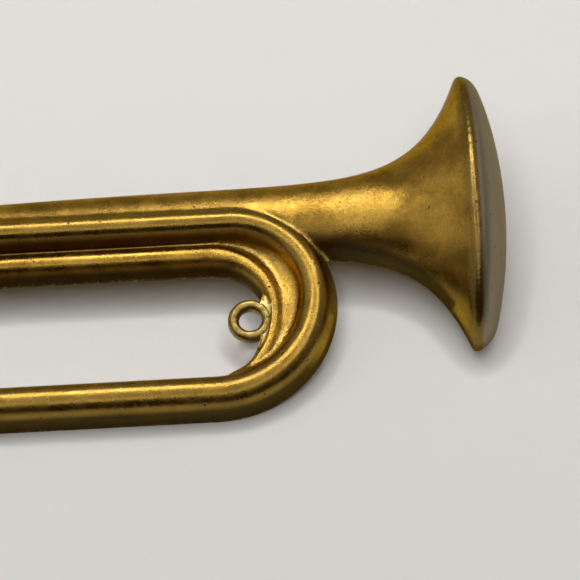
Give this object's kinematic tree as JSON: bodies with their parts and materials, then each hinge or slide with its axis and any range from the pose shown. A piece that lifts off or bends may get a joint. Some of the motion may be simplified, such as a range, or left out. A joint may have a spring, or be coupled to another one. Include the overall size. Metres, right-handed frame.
{
  "type": "bugle brooch",
  "caption": "Struck brass brooch in the shape of a bugle, with a hollow back, cord rings in the loop's bends, and a hinged pin with a turning catch.",
  "frame": {"origin": "under the middle of the whole brooch, level with the lowest of the pin fittings", "axes": "+X from mouthpiece to bell, +Y towards the bell tube's side, +Z out of the front face"},
  "size_m": [0.0766, 0.0256, 0.0091],
  "materials": {
    "struck_brass": "aged, satin, darkened in the hollows",
    "ring_brass": "aged, drawn wire",
    "brazing": "bright, uneven",
    "strip_brass": "rolled strip, satin",
    "soft_solder": "dull grey",
    "pin_steel": "drawn wire, satin"
  },
  "bodies": {
    "brooch": {"front_shell": "struck_brass", "cord_ring_bell_end": "ring_brass", "cord_ring_mouthpiece_end": "ring_brass", "ring_solder_bell_end": "brazing", "ring_solder_mouthpiece_end": "brazing", "hinge_bracket": "strip_brass", "hinge_solder": "soft_solder", "hinge_rivet": "strip_brass", "catch_bridge": "strip_brass", "catch_bridge_solder": "soft_solder", "catch_body": "strip_brass"},
    "pin": {"pin_stem": "pin_steel"},
    "rotor": {"catch_rotor": "strip_brass"}
  },
  "joints": [
    {"name": "pin_hinge", "type": "hinge", "parent": "brooch", "child": "pin", "pos_m": [-0.0195, 0.00186, 0.00052], "axis": [0, 1, 0], "range_deg": [0, 70]},
    {"name": "catch_turn", "type": "hinge", "parent": "brooch", "child": "rotor", "pos_m": [0.033, 0.00186, 0.001], "axis": [1, 0, 0], "range_deg": [0, 170]}
  ]
}
